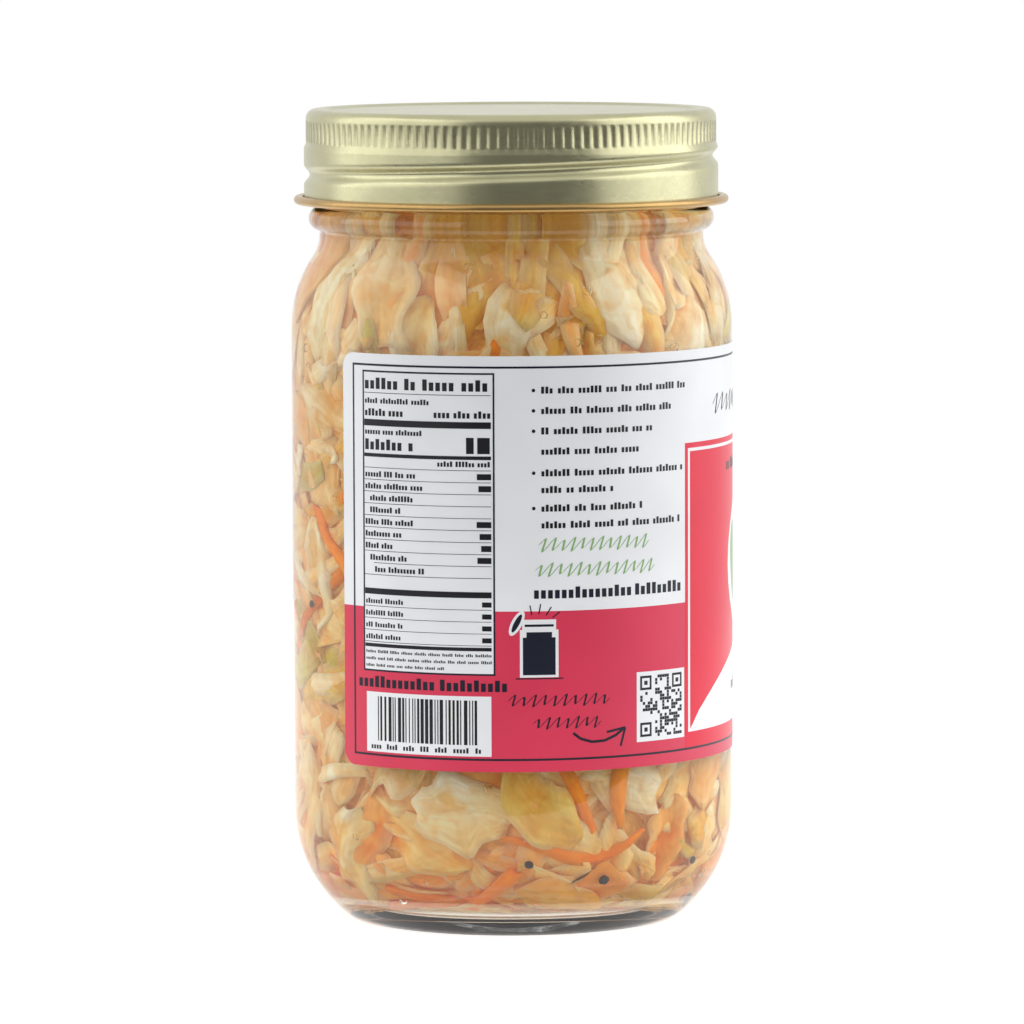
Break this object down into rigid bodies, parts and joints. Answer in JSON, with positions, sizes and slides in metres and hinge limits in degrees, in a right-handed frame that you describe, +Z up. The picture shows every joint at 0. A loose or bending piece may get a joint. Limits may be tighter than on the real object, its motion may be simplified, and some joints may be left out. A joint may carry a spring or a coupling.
{
  "type": "sauerkraut jar",
  "caption": "Straight-sided clear glass jar of shredded pickled cabbage and carrot, with a rolled metal screw cap and a wrap-round paper label.",
  "frame": {"origin": "centre of the jar's base, on the surface it stands on", "axes": "+Z up along the jar's axis; -Y is towards the front of the label's white and red side panel, and the bare strip of glass between the label's ends is at -X"},
  "size_m": [0.0756, 0.0758, 0.1385],
  "materials": {
    "clear_glass": "clear flint soda-lime container glass, blow moulded and fire polished",
    "lacquered_tinplate": "tinplate under a thin pale gold lacquer, satin, with fine rolling lines",
    "coated_label_paper": "coated label paper printed in coral red, white and navy, satin",
    "pickled_cabbage": "wet, translucent shredded cabbage and carrot in golden brine"
  },
  "bodies": {
    "root": {"jar": "clear_glass", "lid": "lacquered_tinplate", "label": "coated_label_paper", "kraut": "pickled_cabbage"}
  },
  "joints": []
}
